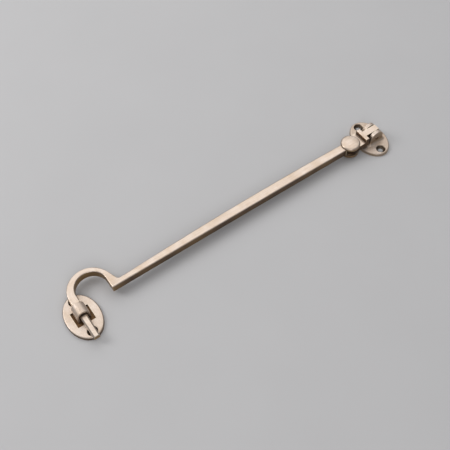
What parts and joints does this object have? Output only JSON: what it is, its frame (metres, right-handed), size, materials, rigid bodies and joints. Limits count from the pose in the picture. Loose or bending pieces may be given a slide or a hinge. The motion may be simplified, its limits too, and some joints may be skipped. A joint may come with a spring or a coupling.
{
  "type": "casement window stay",
  "caption": "Cabin-hook casement stay: a square bar with a gooseneck hook on a two-way swivel plate, its tongue lying in the arched staple of an oval keeper plate.",
  "frame": {"origin": "middle of the pivot plate's back face, midway between its two screw holes", "axes": "+Z out of the mounting surface, arm along -X, screw holes of both plates in line along Y"},
  "size_m": [0.2943, 0.0506, 0.0136],
  "materials": {
    "satin_brass_plate": "satin, lightly aged",
    "satin_brass_link": "satin, lightly aged",
    "satin_brass_arm": "satin, brushed along the bar",
    "satin_brass_staple": "satin, lightly aged",
    "brass_pin": "riveted and filed"
  },
  "bodies": {
    "pivot_base": {"base_plate": "satin_brass_plate", "ear_pin": "brass_pin"},
    "link": {"knuckle_link": "satin_brass_link"},
    "arm": {"hook_arm": "satin_brass_arm", "fork_pin": "brass_pin"},
    "keeper": {"keeper_plate": "satin_brass_plate", "keeper_staple": "satin_brass_staple"}
  },
  "joints": [
    {"name": "arm_lift", "type": "hinge", "parent": "pivot_base", "child": "link", "pos_m": [0.0017, 0, 0.0073], "axis": [0, 1, 0], "range_deg": [-6, 90]},
    {"name": "arm_swing", "type": "hinge", "parent": "link", "child": "arm", "pos_m": [-0.0215, 0, 0.0073], "axis": [0, 0, 1], "range_deg": [-90, 90]},
    {"name": "keeper_slide", "type": "slide", "parent": "arm", "child": "keeper", "axis": [0, -1, 0], "range_m": [0, 0.06]}
  ]
}
